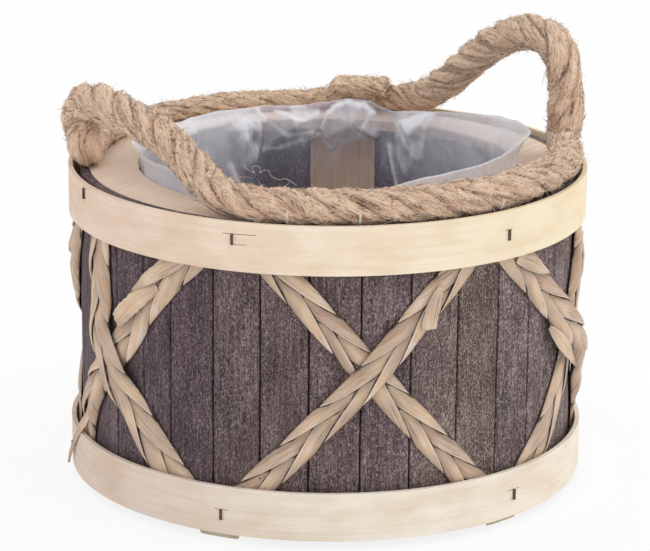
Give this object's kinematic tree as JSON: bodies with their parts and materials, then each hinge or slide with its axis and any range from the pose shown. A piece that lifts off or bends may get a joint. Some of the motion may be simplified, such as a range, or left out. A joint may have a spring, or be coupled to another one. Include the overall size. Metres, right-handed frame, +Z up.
{
  "type": "planter basket",
  "caption": "Round planter basket of upright wooden staves between two bent-wood bands, with crossed leaf plaits, a rope rim with two rope handles, and a film liner.",
  "frame": {"origin": "centre of the basket's footprint, on the floor under its runners", "axes": "+Z up along the drum's axis; the two handles stand on +X (taller) and -X (lower)"},
  "size_m": [0.3016, 0.3019, 0.2612],
  "materials": {
    "stave_wood": "stained dark, matt",
    "pale_wood": "bare peeled veneer, matt",
    "ledge_wood": "bare, matt",
    "strut_wood": "bare, brown, matt",
    "base_wood": "bare board, matt",
    "plaited_leaf": "dried leaf, plaited",
    "jute_rope": "laid jute, hairy",
    "liner_film": "milky translucent film",
    "staple_steel": "bare wire, a little rusty"
  },
  "bodies": {
    "root": {"stave_01": "stave_wood", "stave_02": "stave_wood", "stave_03": "stave_wood", "stave_04": "stave_wood", "stave_05": "stave_wood", "stave_06": "stave_wood", "stave_07": "stave_wood", "stave_08": "stave_wood", "stave_09": "stave_wood", "stave_10": "stave_wood", "stave_11": "stave_wood", "stave_12": "stave_wood", "stave_13": "stave_wood", "stave_14": "stave_wood", "stave_15": "stave_wood", "stave_16": "stave_wood", "stave_17": "stave_wood", "stave_18": "stave_wood", "stave_19": "stave_wood", "stave_20": "stave_wood", "stave_21": "stave_wood", "stave_22": "stave_wood", "stave_23": "stave_wood", "stave_24": "stave_wood", "stave_25": "stave_wood", "stave_26": "stave_wood", "stave_27": "stave_wood", "stave_28": "stave_wood", "stave_29": "stave_wood", "stave_30": "stave_wood", "stave_31": "stave_wood", "stave_32": "stave_wood", "plait_front_rising": "plaited_leaf", "plait_front_falling": "plaited_leaf", "plait_right_rising": "plaited_leaf", "plait_right_falling": "plaited_leaf", "plait_back_right_rising": "plaited_leaf", "plait_back_right_falling": "plaited_leaf", "plait_back_rising": "plaited_leaf", "plait_back_falling": "plaited_leaf", "plait_back_left_rising": "plaited_leaf", "plait_back_left_falling": "plaited_leaf", "plait_left_rising": "plaited_leaf", "plait_left_falling": "plaited_leaf", "base_disc": "base_wood", "base_runners": "pale_wood", "inner_struts": "strut_wood", "top_ring": "ledge_wood", "top_band": "pale_wood", "bottom_band": "pale_wood", "band_staples": "staple_steel", "rope_staples": "staple_steel", "rim_rope_front": "jute_rope", "rim_rope_back": "jute_rope", "rope_end_lower": "jute_rope", "rope_end_upper": "jute_rope", "liner": "liner_film"},
    "left_loop": {"handle_left": "jute_rope"},
    "right_loop": {"handle_right": "jute_rope"}
  },
  "joints": [
    {"name": "left_handle_tilt", "type": "hinge", "parent": "root", "child": "left_loop", "pos_m": [-0.11989, 0, 0.19155], "axis": [0, -1, 0], "range_deg": [-35, 45]},
    {"name": "right_handle_tilt", "type": "hinge", "parent": "root", "child": "right_loop", "pos_m": [0.11989, 0, 0.19155], "axis": [0, 1, 0], "range_deg": [-35, 45]}
  ]
}
